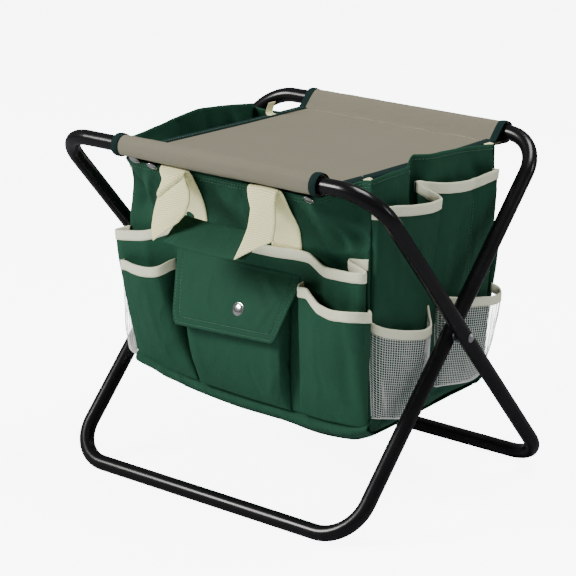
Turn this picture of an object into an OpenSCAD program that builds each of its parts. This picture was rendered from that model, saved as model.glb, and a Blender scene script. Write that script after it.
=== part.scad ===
// Folding garden stool with a sling seat and a canvas tool bag.
// Origin: on the floor, at the middle of the stool. +X is to the right, -Y is the front, +Z is up.

/* [Frame] */
// Outside diameter of the steel tube
tube_d = 16; // [15:0.5:17]
// Wall thickness of the steel tube
tube_wall = 1.2; // [0.8:0.2:2]
// Width of the outer loop between its leg centres
outer_loop_w = 404; // [402:1:420]
// Width of the inner loop between its leg centres
inner_loop_w = 368; // [367:1:368.5]
// Leg length from the pivot up to the seat bar
leg_up = 232; // [228:1:240]
// Leg length from the pivot down to the floor bar
leg_low = 236; // [232:1:245]
// Lean of the legs from upright when the stool is open
lean = 42.2; // [41.5:0.1:43]
// Centreline radius of the tube bends
bend_r = 42; // [36:1:48]

/* [Pivots] */
// Diameter of the rivet shafts
rivet_d = 6; // [4:0.5:6]
// Diameter of the rivet heads
rivet_head_d = 10; // [9:0.5:12]
// Height of the rivet heads
rivet_head_h = 2.2; // [1.5:0.1:2.3]
// Radial play between a rivet and its holes
rivet_play = 0.08; // [0.02:0.01:0.1]

/* [Seat] */
// Width of the sling seat over its edge bindings
seat_w = 258; // [240:2:262]
// How far the loose sling has slid to the right along the bars
seat_shift = 11; // [0:1:14]
// Outside diameter of the sleeves around the seat bars
sleeve_d = 21; // [20:0.5:21.5]
// Thickness of the seat fabric
seat_t = 1.5; // [1:0.1:2]

/* [Bag] */
// Width of the bag over its side panels
bag_w = 320; // [312:2:320]
// Depth of the bag over its front and back panels
bag_d = 212; // [208:1:212]
// Height of the underside of the bag above the floor
bag_base = 86; // [80:1:90]
// Height of the rim of the side panels
bag_rim = 356; // [352:1:358]
// Thickness of the bag canvas
cloth = 2; // [1.5:0.1:2]

/* [Pockets] */
// Height of the mouth of the upper pockets on the front and back
strip_mouth = 268; // [264:1:270]
// Height of the mouth of the lower pockets on the front and back
lower_mouth = 228; // [220:1:230]
// Height of the mouth of the upper pockets on the sides
side_mouth = 322; // [310:1:324]
// Height of the mouth of the mesh pockets
mesh_mouth = 214; // [200:1:216]
// Thickness of the pocket fabric
pocket_t = 1.5; // [1.2:0.1:1.6]
// Height of the cream binding round the pocket mouths
binding_h = 10; // [8:0.5:11]

/* [Flap] */
// Width of the pocket flap along its seam
flap_w = 156; // [146:2:158]
// Length of the pocket flap from its seam to its edge
flap_l = 75; // [66:1:76]
// Tilt of the closed flap out from upright
flap_tilt = 20.9; // [20.5:0.1:22]

/* [Handles] */
// Width of the webbing straps
strap_w = 37; // [34:1:38]
// Distance of each strap from the middle of its handle
strap_x = 60; // [58:1:61]
// How far the hanging handles have slid to the right
handle_shift = 12; // [8:1:12]
// Distance of the folds at the top of the straps from the mid-plane
fold_y = 155; // [154:0.5:156]

/* [Hidden] */
$fn = 48;

// Colours
steel_black = "#161616";
rivet_silver = "#b9b9bb";
taupe = "#968d7c";
edge_green = "#16332f";
canvas_green = "#2b5c45";
cream = "#ddd7bd";
mesh_white = "#d8d8d0";
chrome = "#c8c8cc";

// Frame
tube_r = tube_d / 2;
pivot_z = tube_r + leg_low * cos(lean);
bar_y = leg_up * sin(lean);
bar_z = pivot_z + leg_up * cos(lean);
hole_r = rivet_d / 2 + rivet_play;
spacer_t = 1.4;
spacer_r = 7;

// Seat
seat_x0 = seat_shift - seat_w / 2;
seat_x1 = seat_shift + seat_w / 2;
edge_w = 3;
ring_w = 5;
sleeve_r = sleeve_d / 2;
sleeve_bore_r = tube_r + 0.2;
// Where the sleeve is sewn to the sling, measured from the middle of its bar
seam_in = 21;
seam_down = 7.7;
seat_z = bar_z - seam_down;
seat_y = bar_y - seam_in;
// Gap between pieces that move apart
gap = 0.4;
// Outline of the cloth between the sleeve and its seam, measured from the middle of the bar
sleeve_throat = [[6, 7], [seam_in, -seam_down], [seam_in, -seam_down - seat_t], [2.5, -9.2]];
ring_proud = 0.8;
edge_proud = 0.5;
tape_size = [14, 8, 1.2];
// How far the middle of a tape is in from the edge of the seat
tape_in = 5;
// Middles of the tapes along the right and left edge
right_tape_y = [-86, 120];
left_tape_y = [-23, 93];

// Bag
side_x = bag_w / 2;
front_y = bag_d / 2;
inner_y = front_y - cloth;
inner_x = side_x - cloth;
flare_z = 271;
flare_top_y = 147.4;
flare_top_z = 337.5;
flare_half_w = 136.5;
corner_z = 344;
flare_tilt = atan((flare_top_y - front_y) / (flare_top_z - flare_z));
// How far the flared part reaches down into the upright part
flare_lap = 3;

// Pockets in general
layer_gap = 0.3;
trim_t = 0.7;
trim_gap = 0.1;
trim_up = 0.5;

// Front and back pockets: distances out from the mid-plane
strip_in = front_y + layer_gap;
strip_flat = strip_in + pocket_t;
strip_out = front_y + 15;
lower_in = strip_out + layer_gap;
lower_out = front_y + 31;
center_in = strip_flat + layer_gap;
end_x = side_x - 2;
split_x = 82;
lower_x = split_x - 2;
center_half_w = 74;
center_foot = lower_out - 5;
center_belly = lower_out - 3;
center_mouth = center_in + 6.9;
strip_base = bag_base + 22;
lower_base = bag_base + 18;
belly_z = lower_base + 61;

// Side pockets: distances out from the mid-plane
side_in = side_x + layer_gap;
side_out = side_x + 12;
side_end_y = inner_y - 1;
side_split = 2;
mesh_split = 4;
upper_base = mesh_mouth + 8;

// Flap
flap_t = 2;
flap_y = strip_flat + 4.2;
flap_z = 247.5;
// Half widths of the flap at its foot and where its corners are clipped
flap_foot = flap_w / 2 - 22;
flap_clip = flap_w / 2 - 14;
clip_h = 8;
flap_snap_x = 16;
flap_snap_down = 48;
snap_r = 6.5;
snap_h = 2.5;
socket_r = 5;
stud_r = 1.9;
// Radius of the socket's hole, in which the stud clicks
socket_hole_r = 2.4;

// Handles
fold_z = 337.5;
strap_t = 2;
grip_y = 165;
grip_z = 283.5;
grip_tilt = 37.4;
grip_t = 4;
base_z = 262;
base_in = front_y + 3;
base_out = base_in + 1.6;
// Outer and inner corner of their top end, in from the fold and up
base_tip_out = [3.6, -0.6];
base_tip_in = [5, 0.4];
// How far the straps sewn to the panel sit to the right
base_shift = 2;

// Tabs and snaps along the flared panel: distances down are from its top edge
snap_x = [-106, -83, 116];
snap_down = [1.5, 9, 9];
tab_x = [-94, 116];
tab_w = 44;
tab_l = 22;
tab_t = 1.5;

// Extrudes a shape drawn in the Y-Z plane from x0 to x1.
module along_x(x0, x1) {
    translate([x0, 0, 0]) rotate([90, 0, 90]) linear_extrude(x1 - x0) children();
}

// Box given by its lowest and highest corners.
module box(low, high) {
    translate(low) cube(high - low);
}

module back_copy() {
    mirror([0, 1, 0]) children();
}

module left_copy() {
    mirror([1, 0, 0]) children();
}

// ---- Frame ----

// Quarter bend of round bar in the X-Y plane, around the Z axis.
module bend(r) {
    rotate_extrude(angle = 90) translate([bend_r, 0]) circle(r = r);
}

// Closed upright loop of round bar, with the pivot at the origin.
module loop_bar(w, r) {
    bar_half = w / 2 - bend_r;
    for (x = [-w / 2, w / 2]) {
        translate([x, 0, bend_r - leg_low]) cylinder(r = r, h = leg_up + leg_low - 2 * bend_r);
    }
    for (z = [-leg_low, leg_up]) {
        translate([-bar_half, 0, z]) rotate([0, 90, 0]) cylinder(r = r, h = 2 * bar_half);
    }
    translate([bar_half, 0, leg_up - bend_r]) rotate([90, 0, 0]) bend(r);
    translate([-bar_half, 0, leg_up - bend_r]) rotate([90, -90, 0]) bend(r);
    translate([-bar_half, 0, bend_r - leg_low]) rotate([90, -180, 0]) bend(r);
    translate([bar_half, 0, bend_r - leg_low]) rotate([90, -270, 0]) bend(r);
}

// Hollow loop, drilled for the rivets, leaning by the given angle.
module tube_loop(w, angle) {
    color(steel_black)
    translate([0, 0, pivot_z])
    rotate([angle, 0, 0])
    difference() {
        loop_bar(w, tube_r);
        loop_bar(w, tube_r - tube_wall);
        rotate([0, 90, 0]) cylinder(r = hole_r, h = w + 2 * tube_d, center = true);
    }
}

module outer_loop() {
    tube_loop(outer_loop_w, lean);
}

module inner_loop() {
    tube_loop(inner_loop_w, -lean);
}

// Domed head that stands on the X-Y plane.
module dome(r, h) {
    ball_r = (r * r + h * h) / (2 * h);
    rotate_extrude() intersection() {
        translate([0, h - ball_r]) circle(r = ball_r, $fn = 96);
        square([r, h]);
    }
}

module rivet() {
    inner_face = inner_loop_w / 2 - tube_r;
    outer_face = outer_loop_w / 2 + tube_r;
    translate([0, 0, pivot_z]) rotate([0, 90, 0]) {
        translate([0, 0, inner_face]) cylinder(r = rivet_d / 2, h = outer_face - inner_face);
        translate([0, 0, outer_face]) dome(rivet_head_d / 2, rivet_head_h);
        translate([0, 0, inner_face]) mirror([0, 0, 1]) dome(rivet_head_d / 2, rivet_head_h);
    }
}

module pivot_rivets() {
    color(rivet_silver) {
        rivet();
        left_copy() rivet();
    }
}

module spacer() {
    middle = (outer_loop_w + inner_loop_w) / 4;
    translate([middle - spacer_t / 2, 0, pivot_z]) rotate([0, 90, 0]) difference() {
        cylinder(r = spacer_r, h = spacer_t);
        translate([0, 0, -1]) cylinder(r = hole_r, h = spacer_t + 2);
    }
}

module pivot_spacers() {
    color(rivet_silver) {
        spacer();
        left_copy() spacer();
    }
}

// ---- Seat ----

// Sleeve of fabric round the front seat bar, drawn in together where it is sewn to the sling.
module sleeve() {
    x0 = seat_x0 + ring_w;
    x1 = seat_x1 - ring_w;
    color(taupe)
    difference() {
        union() {
            translate([x0, -bar_y, bar_z]) rotate([0, 90, 0]) cylinder(r = sleeve_r, h = x1 - x0);
            translate([0, -bar_y, bar_z]) along_x(x0, x1) polygon(sleeve_throat);
        }
        translate([x0 - 1, -bar_y, bar_z]) rotate([0, 90, 0]) cylinder(r = sleeve_bore_r, h = x1 - x0 + 2);
    }
}

module sleeve_ring(x) {
    translate([x, -bar_y, bar_z]) rotate([0, 90, 0]) difference() {
        cylinder(r = sleeve_r + ring_proud, h = ring_w);
        translate([0, 0, -1]) cylinder(r = sleeve_bore_r, h = ring_w + 2);
    }
}

module sleeve_rings() {
    color(edge_green) for (x = [seat_x0, seat_x1 - ring_w]) sleeve_ring(x);
}

module front_sleeve() {
    sleeve();
}

module back_sleeve() {
    back_copy() sleeve();
}

module front_sleeve_bindings() {
    sleeve_rings();
}

module back_sleeve_bindings() {
    back_copy() sleeve_rings();
}

module seat_panel() {
    color(taupe)
    box([seat_x0 + edge_w, -seat_y, seat_z - seat_t], [seat_x1 - edge_w, seat_y - gap, seat_z]);
}

module seat_edge_bindings() {
    z0 = seat_z - seat_t - edge_proud;
    z1 = seat_z + edge_proud;
    color(edge_green) for (x = [seat_x0, seat_x1 - edge_w]) {
        box([x, gap - seat_y, z0], [x + edge_w, seat_y - gap, z1]);
    }
}

// Short tape sewn across the edge of the seat, given by its middle.
module edge_tape(x, y) {
    low = [x - tape_size[0] / 2, y - tape_size[1] / 2, seat_z + edge_proud + 0.1];
    color(cream) translate(low) cube(tape_size);
}

module seat_edge_tapes() {
    for (y = right_tape_y) edge_tape(seat_x1 - tape_in, y);
    for (y = left_tape_y) edge_tape(seat_x0 + tape_in, y);
}

// ---- Bag panels ----

// Front panel: upright at the corners, and drawn forward to the seat bar between them.
module end_panel() {
    color(canvas_green) {
        box([-side_x, -front_y, bag_base + cloth], [side_x, -inner_y, flare_z]);
        for (x = [-side_x, flare_half_w]) {
            box([x, -front_y, flare_z - 1], [x + side_x - flare_half_w, -inner_y, corner_z]);
        }
        along_x(-flare_half_w, flare_half_w) polygon([
            [-front_y, flare_z - flare_lap],
            [-inner_y, flare_z - flare_lap],
            [-inner_y, flare_z + cloth * tan(flare_tilt / 2)],
            [-flare_top_y + cloth * cos(flare_tilt), flare_top_z + cloth * sin(flare_tilt)],
            [-flare_top_y, flare_top_z],
            [-front_y, flare_z]
        ]);
    }
}

module bag_front_panel() {
    end_panel();
}

module bag_back_panel() {
    difference() {
        back_copy() end_panel();
        box([-side_x, inner_y - 1, bag_base], [side_x, front_y + 1, bag_base + cloth + gap]);
    }
}

module bag_right_panel() {
    color(canvas_green)
    box([inner_x, gap - inner_y, bag_base + cloth + gap], [side_x, inner_y - gap, bag_rim]);
}

module bag_left_panel() {
    left_copy() bag_right_panel();
}

module bag_bottom() {
    color(canvas_green)
    box([-side_x, -front_y, bag_base], [side_x, inner_y - gap, bag_base + cloth]);
}

// ---- Front and back pockets ----

// Open-topped pocket with a bottom, sewn to the cloth behind it along inside_y.
module pouch(x0, x1, inside_y, outside_y, z0, z1) {
    difference() {
        box([x0, -outside_y, z0], [x1, -inside_y, z1]);
        box([x0 + pocket_t, pocket_t - outside_y, z0 + pocket_t], [x1 - pocket_t, 1 - inside_y, z1 + 1]);
    }
}

// One strip of canvas across the panel: a full pocket at each end, flat between them.
module pocket_strip() {
    color(canvas_green) {
        pouch(-end_x, -split_x, strip_in, strip_out, strip_base, strip_mouth);
        pouch(split_x, end_x, strip_in, strip_out, strip_base, strip_mouth);
        box([-split_x, -strip_flat, strip_base], [split_x, -strip_in, strip_mouth]);
    }
}

module lower_pocket() {
    color(canvas_green) pouch(lower_x, end_x, lower_in, lower_out, lower_base, lower_mouth);
}

// Middle pocket: its mouth is drawn in and its belly stands out.
module middle_pocket() {
    mouth_t = pocket_t + 0.2;
    belly = [[-center_in, lower_base], [-center_foot, lower_base], [-center_belly, belly_z],
             [-center_mouth, lower_mouth], [-center_in, lower_mouth]];
    hollow = [[1 - center_in, lower_base + pocket_t], [pocket_t - center_foot, lower_base + pocket_t],
              [pocket_t - center_belly, belly_z], [mouth_t - center_mouth, lower_mouth + 1],
              [1 - center_in, lower_mouth + 1]];
    color(canvas_green)
    difference() {
        along_x(-center_half_w, center_half_w) polygon(belly);
        along_x(-center_half_w + pocket_t, center_half_w - pocket_t) polygon(hollow);
    }
}

module front_pocket_strip() {
    pocket_strip();
}

module front_lower_pocket_right() {
    lower_pocket();
}

module front_lower_pocket_left() {
    left_copy() lower_pocket();
}

module center_pocket() {
    middle_pocket();
}

module back_pocket_strip() {
    back_copy() pocket_strip();
}

module back_lower_pocket_right() {
    back_copy() lower_pocket();
}

module back_lower_pocket_left() {
    back_copy() left_copy() lower_pocket();
}

module back_center_pocket() {
    back_copy() middle_pocket();
}

// Tape along the mouth of a pocket strip, standing trim_t proud of it.
module strip_binding() {
    z0 = strip_mouth - binding_h;
    z1 = strip_mouth + trim_up;
    flat_y = strip_flat + trim_gap;
    full_y = strip_out + trim_gap;
    turn_x = split_x - trim_gap;
    color(cream) {
        box([-turn_x, -flat_y - trim_t, z0], [turn_x, -flat_y, z1]);
        for (x = [-end_x, turn_x]) box([x, -full_y - trim_t, z0], [x + end_x - turn_x, -full_y, z1]);
        for (x = [-turn_x, turn_x - trim_t]) box([x, -full_y - trim_t, z0], [x + trim_t, -flat_y, z1]);
    }
}

module lower_binding() {
    y0 = -lower_out - trim_gap;
    z0 = lower_mouth - binding_h;
    color(cream) box([lower_x, y0 - trim_t, z0], [end_x, y0, lower_mouth + trim_up]);
}

module front_upper_binding() {
    strip_binding();
}

module back_upper_binding() {
    back_copy() strip_binding();
}

module front_lower_bindings() {
    lower_binding();
    left_copy() lower_binding();
}

module back_lower_bindings() {
    back_copy() front_lower_bindings();
}

// ---- Side pockets, drawn on the right side ----

// Open-topped pocket on the side panel from y0 to y1.
module side_pouch(y0, y1, z0, z1) {
    difference() {
        box([side_in, y0, z0], [side_out, y1, z1]);
        box([side_in - 1, y0 + pocket_t, z0 + pocket_t], [side_out - pocket_t, y1 - pocket_t, z1 + 1]);
    }
}

module side_upper_pockets() {
    color(canvas_green) {
        side_pouch(-side_end_y, -side_split / 2, upper_base, side_mouth);
        side_pouch(side_split / 2, side_end_y, upper_base, side_mouth);
        box([side_in, -side_split, upper_base], [side_in + pocket_t, side_split, side_mouth]);
    }
}

module side_mesh_pocket() {
    color(mesh_white) side_pouch(-side_end_y, -mesh_split, lower_base, mesh_mouth);
}

// Tapes along the mouths of two side pockets that start a distance from the middle.
module side_tapes(split, mouth) {
    x0 = side_out + trim_gap;
    run = side_end_y - split;
    color(cream) for (y = [-side_end_y, split]) {
        box([x0, y, mouth - binding_h], [x0 + trim_t, y + run, mouth + trim_up]);
    }
}

module side_upper_binding() {
    side_tapes(side_split / 2, side_mouth);
}

module side_mesh_bindings() {
    side_tapes(mesh_split, mesh_mouth);
}

module right_upper_pockets() {
    side_upper_pockets();
}

module right_mesh_pocket_front() {
    side_mesh_pocket();
}

module right_mesh_pocket_back() {
    back_copy() side_mesh_pocket();
}

module right_upper_binding() {
    side_upper_binding();
}

module right_mesh_bindings() {
    side_mesh_bindings();
}

module left_upper_pockets() {
    left_copy() side_upper_pockets();
}

module left_mesh_pocket_front() {
    left_copy() side_mesh_pocket();
}

module left_mesh_pocket_back() {
    left_copy() back_copy() side_mesh_pocket();
}

module left_upper_binding() {
    left_copy() side_upper_binding();
}

module left_mesh_bindings() {
    left_copy() side_mesh_bindings();
}

// ---- Flap ----

// Puts its children on the closed flap: x along the seam, z up the flap, -y outwards.
module on_flap() {
    translate([0, -flap_y, flap_z]) rotate([-flap_tilt, 0, 0]) children();
}

module pocket_flap() {
    half = flap_w / 2;
    outline = [[-half, -1], [half, -1], [half, -clip_h], [flap_clip, clip_h - flap_l], [flap_foot, -flap_l],
               [-flap_foot, -flap_l], [-flap_clip, clip_h - flap_l], [-half, -clip_h]];
    color(canvas_green) on_flap() rotate([90, 0, 0]) linear_extrude(flap_t) polygon(outline);
}

// Chrome cap outside the flap and socket ring inside it.
module flap_snap_cap() {
    socket_h = 1.4;
    color(chrome) on_flap() translate([flap_snap_x, 0, -flap_snap_down]) {
        translate([0, -flap_t, 0]) rotate([90, 0, 0]) dome(snap_r, snap_h);
        rotate([-90, 0, 0]) difference() {
            cylinder(r = socket_r, h = socket_h);
            translate([0, 0, -1]) cylinder(r = socket_hole_r, h = socket_h + 2);
        }
    }
}

// Stud on the middle pocket that the flap's socket closes over.
module flap_snap_stud() {
    wall_tilt = atan((center_belly - center_mouth) / (lower_mouth - belly_z));
    stud_z = flap_z - flap_snap_down * cos(flap_tilt) - 1;
    stud_y = center_mouth + (lower_mouth - stud_z) * tan(wall_tilt) + 0.1;
    color(chrome) translate([flap_snap_x, -stud_y, stud_z]) rotate([90 - wall_tilt, 0, 0]) {
        cylinder(r = socket_r, h = 0.8);
        cylinder(r = stud_r, h = 1.9);
    }
}

// ---- Handles and snaps ----

// Webbing sewn to the pocket strip that runs up the panel to the fold under the sleeve.
module handle_base(x) {
    top = [-fold_y, fold_z];
    color(cream) along_x(x - strap_w / 2, x + strap_w / 2) polygon([
        [-base_in, base_z], [-base_out, base_z], [-base_out, flare_z + 0.8],
        top + base_tip_out, top + base_tip_in, [-base_in, flare_z + 1.3]
    ]);
}

module handle_bases() {
    for (s = [-1, 1]) handle_base(s * strap_x + base_shift);
}

// Hanging end of a strap, from its fold down to where it turns round the grip.
module hanging_strap(x) {
    color(cream) along_x(x - strap_w / 2, x + strap_w / 2) union() {
        polygon([
            [-fold_y, fold_z], [-fold_y - strap_t, fold_z],
            [-grip_y - strap_t / 2, grip_z], [-grip_y + strap_t / 2, grip_z]
        ]);
        translate([-grip_y, grip_z]) rotate(grip_tilt) square([strap_w, grip_t], center = true);
    }
}

module handle_straps() {
    for (s = [-1, 1]) hanging_strap(s * strap_x + handle_shift);
}

// Canvas-wrapped middle of the webbing.
module handle_grip() {
    reach = strap_x - strap_w / 2 - 0.2;
    color(canvas_green) along_x(handle_shift - reach, handle_shift + reach)
        translate([-grip_y, grip_z]) rotate(grip_tilt) square([strap_w + 1, grip_t + 0.6], center = true);
}

// Puts its children on the outside of the flared panel, a distance down from its top edge.
module on_flare(x, down) {
    translate([x, -flare_top_y, flare_top_z]) rotate([90 + flare_tilt, 0, 0])
        translate([0, -down, 0]) children();
}

module snaps() {
    color(chrome) for (i = [0:2]) on_flare(snap_x[i], snap_down[i]) dome(snap_r, snap_h);
}

// Tabs under the seat that the bag snaps on to, behind the flared panel.
module hanging_tabs() {
    color(edge_green) for (x = tab_x) {
        on_flare(x - tab_w / 2, tab_l) translate([0, 0, -cloth - tab_t - 0.7]) cube([tab_w, tab_l, tab_t]);
    }
}

module front_handle_bases() {
    handle_bases();
}

module front_handle_straps() {
    handle_straps();
}

module front_handle_grip() {
    handle_grip();
}

module front_hanging_tabs() {
    hanging_tabs();
}

module front_snaps() {
    snaps();
}

module back_handle_bases() {
    back_copy() handle_bases();
}

module back_handle_straps() {
    back_copy() handle_straps();
}

module back_handle_grip() {
    back_copy() handle_grip();
}

module back_hanging_tabs() {
    back_copy() hanging_tabs();
}

module back_snaps() {
    back_copy() snaps();
}

outer_loop();
pivot_rivets();
pivot_spacers();
front_sleeve();
front_sleeve_bindings();
seat_panel();
seat_edge_bindings();
seat_edge_tapes();
inner_loop();
back_sleeve();
back_sleeve_bindings();
bag_front_panel();
bag_left_panel();
bag_right_panel();
bag_bottom();
front_pocket_strip();
front_lower_pocket_left();
front_lower_pocket_right();
center_pocket();
flap_snap_stud();
front_upper_binding();
front_lower_bindings();
right_upper_pockets();
right_mesh_pocket_front();
right_mesh_pocket_back();
right_upper_binding();
right_mesh_bindings();
left_upper_pockets();
left_mesh_pocket_front();
left_mesh_pocket_back();
left_upper_binding();
left_mesh_bindings();
front_handle_bases();
front_hanging_tabs();
front_snaps();
pocket_flap();
flap_snap_cap();
front_handle_straps();
front_handle_grip();
bag_back_panel();
back_pocket_strip();
back_lower_pocket_left();
back_lower_pocket_right();
back_center_pocket();
back_upper_binding();
back_lower_bindings();
back_handle_bases();
back_hanging_tabs();
back_snaps();
back_handle_straps();
back_handle_grip();
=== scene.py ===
"""Looks of the folding garden stool: sewn canvas bag, sling seat, webbing, net and painted tube.

Shapes are worked out in millimetres in the row frame and turned into metres when a mesh is made.
-Y is the front. "out" is a distance away from the panel that a piece is sewn to.
"""
import math

import bpy
import numpy as np
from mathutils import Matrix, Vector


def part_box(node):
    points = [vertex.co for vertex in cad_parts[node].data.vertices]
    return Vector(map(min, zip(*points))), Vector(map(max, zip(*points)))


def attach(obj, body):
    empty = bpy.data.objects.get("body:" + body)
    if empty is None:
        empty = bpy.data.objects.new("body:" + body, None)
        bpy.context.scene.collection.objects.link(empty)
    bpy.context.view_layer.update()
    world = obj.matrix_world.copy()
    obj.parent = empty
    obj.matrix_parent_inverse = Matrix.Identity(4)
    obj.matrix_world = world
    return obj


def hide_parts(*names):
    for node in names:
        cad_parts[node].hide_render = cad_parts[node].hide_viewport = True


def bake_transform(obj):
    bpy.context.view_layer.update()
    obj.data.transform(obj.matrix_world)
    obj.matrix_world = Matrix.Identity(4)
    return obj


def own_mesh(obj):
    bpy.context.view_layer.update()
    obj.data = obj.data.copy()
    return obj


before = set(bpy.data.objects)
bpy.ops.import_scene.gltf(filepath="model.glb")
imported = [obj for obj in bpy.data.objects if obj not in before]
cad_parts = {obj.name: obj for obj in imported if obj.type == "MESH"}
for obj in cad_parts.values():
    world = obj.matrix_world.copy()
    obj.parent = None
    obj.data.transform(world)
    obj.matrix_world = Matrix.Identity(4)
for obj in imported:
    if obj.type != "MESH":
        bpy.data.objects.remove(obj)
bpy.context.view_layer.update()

MM = 0.001
BINDING_H = 10.0

# Thickness of the cloths
CLOTH = 1.8
POCKET_CLOTH = 1.3
FLAP_CLOTH = 2.2
STRAP_CLOTH = 1.6
SLEEVE_CLOTH = 0.9
SLING_CLOTH = 1.3
TAPE_CLOTH = 0.5
NET_WIRE = 0.62

# Frame, as packed: the seat bars' middle, the sleeves round them, their seams and the sling between
BAR_Y = 155.84
BAR_Z = 354.70
SLEEVE_R = 10.5
SEAM_Y = 134.6
SEAT_Z = 347.0
SEAT_X0 = -118.0
SEAT_X1 = 140.0

# Bag: its side panels, the top edge of its front and back, and the corners of that edge
SIDE_X = 159.0
RIM_Z = 337.5
RIGHT_CORNER_Z = 352
LEFT_CORNER_Z = 347

# Grids are drawn for the front and the right side. Those of the back and the left are their mirror images.
FRONT = {"name": "front", "body": "bag_front", "sign": 1, "axis": 1, "seed": 0}
BACK = {"name": "back", "body": "bag_back", "sign": -1, "axis": 1, "seed": 40}
RIGHT = {"name": "right", "sign": 1, "axis": 0, "seed": 80}
LEFT = {"name": "left", "sign": -1, "axis": 0, "seed": 120}


# ---- Numbers and curves ----

def ease(a, b, x):
    t = np.clip((x - a) / (b - a), 0, 1)
    return t * t * (3 - 2 * t)


def xyz(x, y, z):
    return np.stack([x, y, z], -1)


def hermite(keys, values, at):
    """Smooth curve through values at keys that never overshoots them."""
    step = np.diff(keys)
    rise = np.diff(values) / step
    slope = np.zeros(len(keys))
    slope[0], slope[-1] = rise[0], rise[-1]
    both = rise[:-1] * rise[1:]
    same = both > 0
    slope[1:-1][same] = 2 * both[same] / (rise[:-1][same] + rise[1:][same])
    at = np.clip(at, keys[0], keys[-1])
    i = np.clip(np.searchsorted(keys, at, side="right") - 1, 0, len(keys) - 2)
    t = (at - keys[i]) / step[i]
    return (values[i] * (1 + 2 * t) * (1 - t) ** 2 + values[i + 1] * t * t * (3 - 2 * t)
            + step[i] * (slope[i] * t * (1 - t) ** 2 - slope[i + 1] * t * t * (1 - t)))


def along(table, at):
    """Value at a place, from a table of (place, value) pairs."""
    table = np.array(table, float)
    return hermite(table[:, 0], table[:, 1], np.asarray(at, float))


def trace(points, shares, axes=3):
    """Smooth curve through points, at shares of its length over the first few columns."""
    points = np.array(points, float)
    reach = np.r_[0, np.cumsum(np.linalg.norm(np.diff(points[:, :axes], axis=0), axis=1))]
    return np.stack([hermite(reach / reach[-1], c, np.asarray(shares)) for c in points.T], -1)


def noise(points, size, seed):
    """Smooth random field from -1 to 1 with bumps about size millimetres wide."""
    table = np.random.RandomState(seed).uniform(-1, 1, (16, 16, 16))
    p = np.asarray(points, float) / size + 100.37
    cell = np.floor(p).astype(int)
    t = p - cell
    t = t * t * (3 - 2 * t)
    total = 0
    for corner in np.ndindex(2, 2, 2):
        share = np.prod(np.where(corner, t, 1 - t), axis=-1)
        i = (cell + corner) % 16
        total = total + share * table[i[..., 0], i[..., 1], i[..., 2]]
    return total


def rumple(points, seed):
    """Soft waves of cloth, about -1 to 1, with a few sharper folds between them."""
    soft = 0.65 * noise(points, 42, seed) + 0.35 * noise(points, 19, seed + 1)
    bent = points + 9 * noise(points, 30, seed + 2)[..., None] * np.array([1.0, 1.0, 0.3])
    fold = 1 - np.abs(noise(bent * np.array([1.0, 1.0, 0.55]), 24, seed + 3)) * 2.2
    return soft + 0.42 * np.clip(fold, 0, 1) ** 2.2


def crease(a, b, start, end, width, height):
    """Ridge along a straight line on a surface with coordinates a and b. It fades at both ends."""
    run = np.subtract(end, start)
    t = ((a - start[0]) * run[0] + (b - start[1]) * run[1]) / (run @ run)
    near = np.clip(t, 0, 1)
    gap = np.hypot(a - start[0] - near * run[0], b - start[1] - near * run[1])
    return height * np.exp(-(gap / width) ** 2) * (0.35 + 0.65 * np.sin(np.pi * np.clip(t, 0.02, 0.98)))


def creases(a, b, table):
    return sum(crease(a, b, line[0:2], line[2:4], line[4], line[5]) for line in table)


# How far the front left corner is drawn in, from the foot up: height, distance
DRAWN_IN = [(70, 18), (110, 15), (160, 11), (220, 9), (262, 10), (285, 14), (305, 17), (322, 12), (338, 3),
            (350, 0)]


def soften(points):
    """The loaded bag is out of shape: its front left corner is drawn in, more so at the foot."""
    points = np.array(points, float)
    x, y, z = points[..., 0], points[..., 1], points[..., 2]
    drawn = along(DRAWN_IN, z)
    points[..., 0] += drawn * ease(-50, -160, x) * ease(0, -100, y)
    return points


# ---- Meshes ----

def normals(grid):
    n = np.cross(np.gradient(grid, axis=0), np.gradient(grid, axis=1))
    return n / np.maximum(np.linalg.norm(n, axis=-1, keepdims=True), 1e-9)


def quads_of(index):
    """Faces between the points of a grid, from the numbers of its points."""
    return np.stack([index[:-1, :-1], index[1:, :-1], index[1:, 1:], index[:-1, 1:]], -1).reshape(-1, 4)


def flip(grid, axis):
    """Mirror image of a grid that keeps its outer face outside."""
    turned = grid[::-1].copy()
    turned[..., axis] *= -1
    return turned


def mirrored(grid, part):
    """A grid drawn for the front or the right, placed where its part belongs."""
    return grid if part["sign"] > 0 else flip(grid, part["axis"])


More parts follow.
